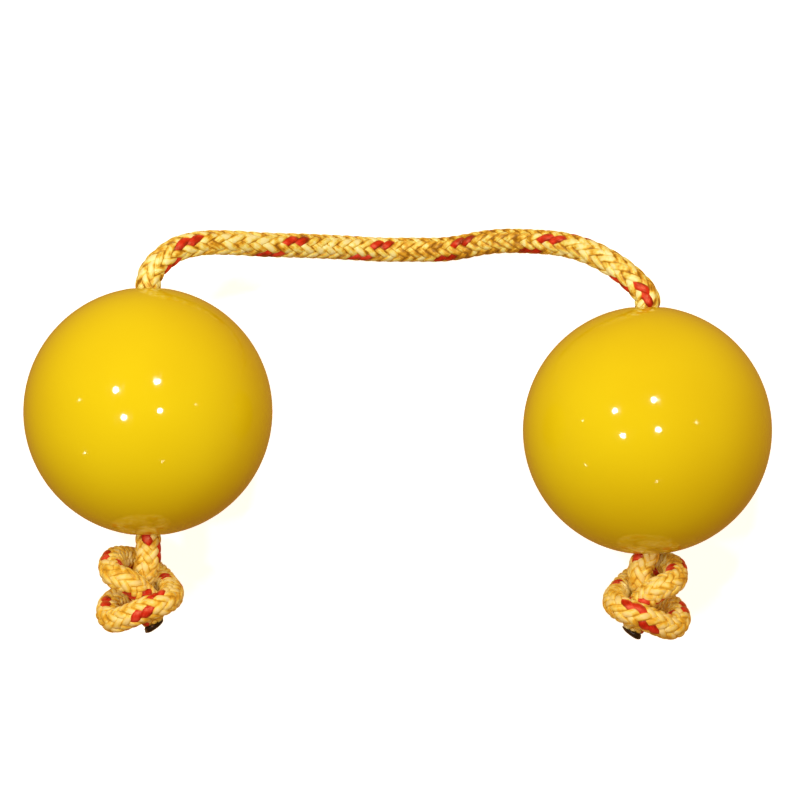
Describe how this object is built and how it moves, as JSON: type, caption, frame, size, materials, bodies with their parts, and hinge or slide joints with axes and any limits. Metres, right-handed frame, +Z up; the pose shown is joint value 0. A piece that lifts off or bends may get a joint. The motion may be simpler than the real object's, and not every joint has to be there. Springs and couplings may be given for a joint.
{
  "type": "percussion shaker balls on a cord",
  "caption": "Pair of hollow plastic shaker balls with loose shot inside, threaded on one short braided cord with stopper knots.",
  "frame": {"origin": "on the table under the point midway between the two ball centres", "axes": "+X from the left ball to the right ball, +Y along the bores towards the free cord, +Z up off the table"},
  "size_m": [0.1504, 0.0835, 0.05],
  "materials": {
    "shell": "gloss",
    "guide_tube": "satin",
    "shot": "satin",
    "cord": "satin",
    "sealed_end": "satin"
  },
  "bodies": {
    "left_span": {"left_cord_span": "cord"},
    "right_span": {"right_cord_span": "cord"},
    "left_cord": {"left_bore_cord": "cord", "left_knot": "cord", "left_sealed_end": "sealed_end"},
    "right_cord": {"right_bore_cord": "cord", "right_knot": "cord", "right_sealed_end": "sealed_end"},
    "left_guide": {"left_guide_tube": "guide_tube"},
    "right_guide": {"right_guide_tube": "guide_tube"},
    "left_ball": {"left_upper_shell": "shell", "left_lower_shell": "shell"},
    "right_ball": {"right_upper_shell": "shell", "right_lower_shell": "shell"},
    "left_pellets": {"left_shot": "shot"},
    "right_pellets": {"right_shot": "shot"}
  },
  "joints": [
    {"name": "cord_fold", "type": "hinge", "parent": "left_span", "child": "right_span", "pos_m": [0.0025, 0.0355, 0.0026], "axis": [0, 0, -1], "range_deg": [-30, 59]},
    {"name": "left_swing", "type": "hinge", "parent": "left_span", "child": "left_cord", "pos_m": [-0.0502, 0.0298, 0.025], "axis": [0, 0, -1], "range_deg": [-40, 40]},
    {"name": "right_swing", "type": "hinge", "parent": "right_span", "child": "right_cord", "pos_m": [0.0502, 0.026, 0.025], "axis": [0, 0, 1], "range_deg": [-15, 35]},
    {"name": "left_slide", "type": "slide", "parent": "left_cord", "child": "left_guide", "axis": [0, 1, 0], "range_m": [-0.0024, 0.001]},
    {"name": "right_slide", "type": "slide", "parent": "right_cord", "child": "right_guide", "axis": [0, 1, 0], "range_m": [0, 0.001]},
    {"name": "left_spin", "type": "hinge", "parent": "left_guide", "child": "left_ball", "pos_m": [-0.0502, 0.0019, 0.025], "axis": [0, 1, 0], "continuous": true},
    {"name": "right_spin", "type": "hinge", "parent": "right_guide", "child": "right_ball", "pos_m": [0.0502, -0.0019, 0.025], "axis": [0, 1, 0], "continuous": true},
    {"name": "left_shot_roll", "type": "hinge", "parent": "left_guide", "child": "left_pellets", "pos_m": [-0.0502, 0.0019, 0.025], "axis": [0, 1, 0], "continuous": true},
    {"name": "right_shot_roll", "type": "hinge", "parent": "right_guide", "child": "right_pellets", "pos_m": [0.0502, -0.0019, 0.025], "axis": [0, 1, 0], "continuous": true}
  ]
}
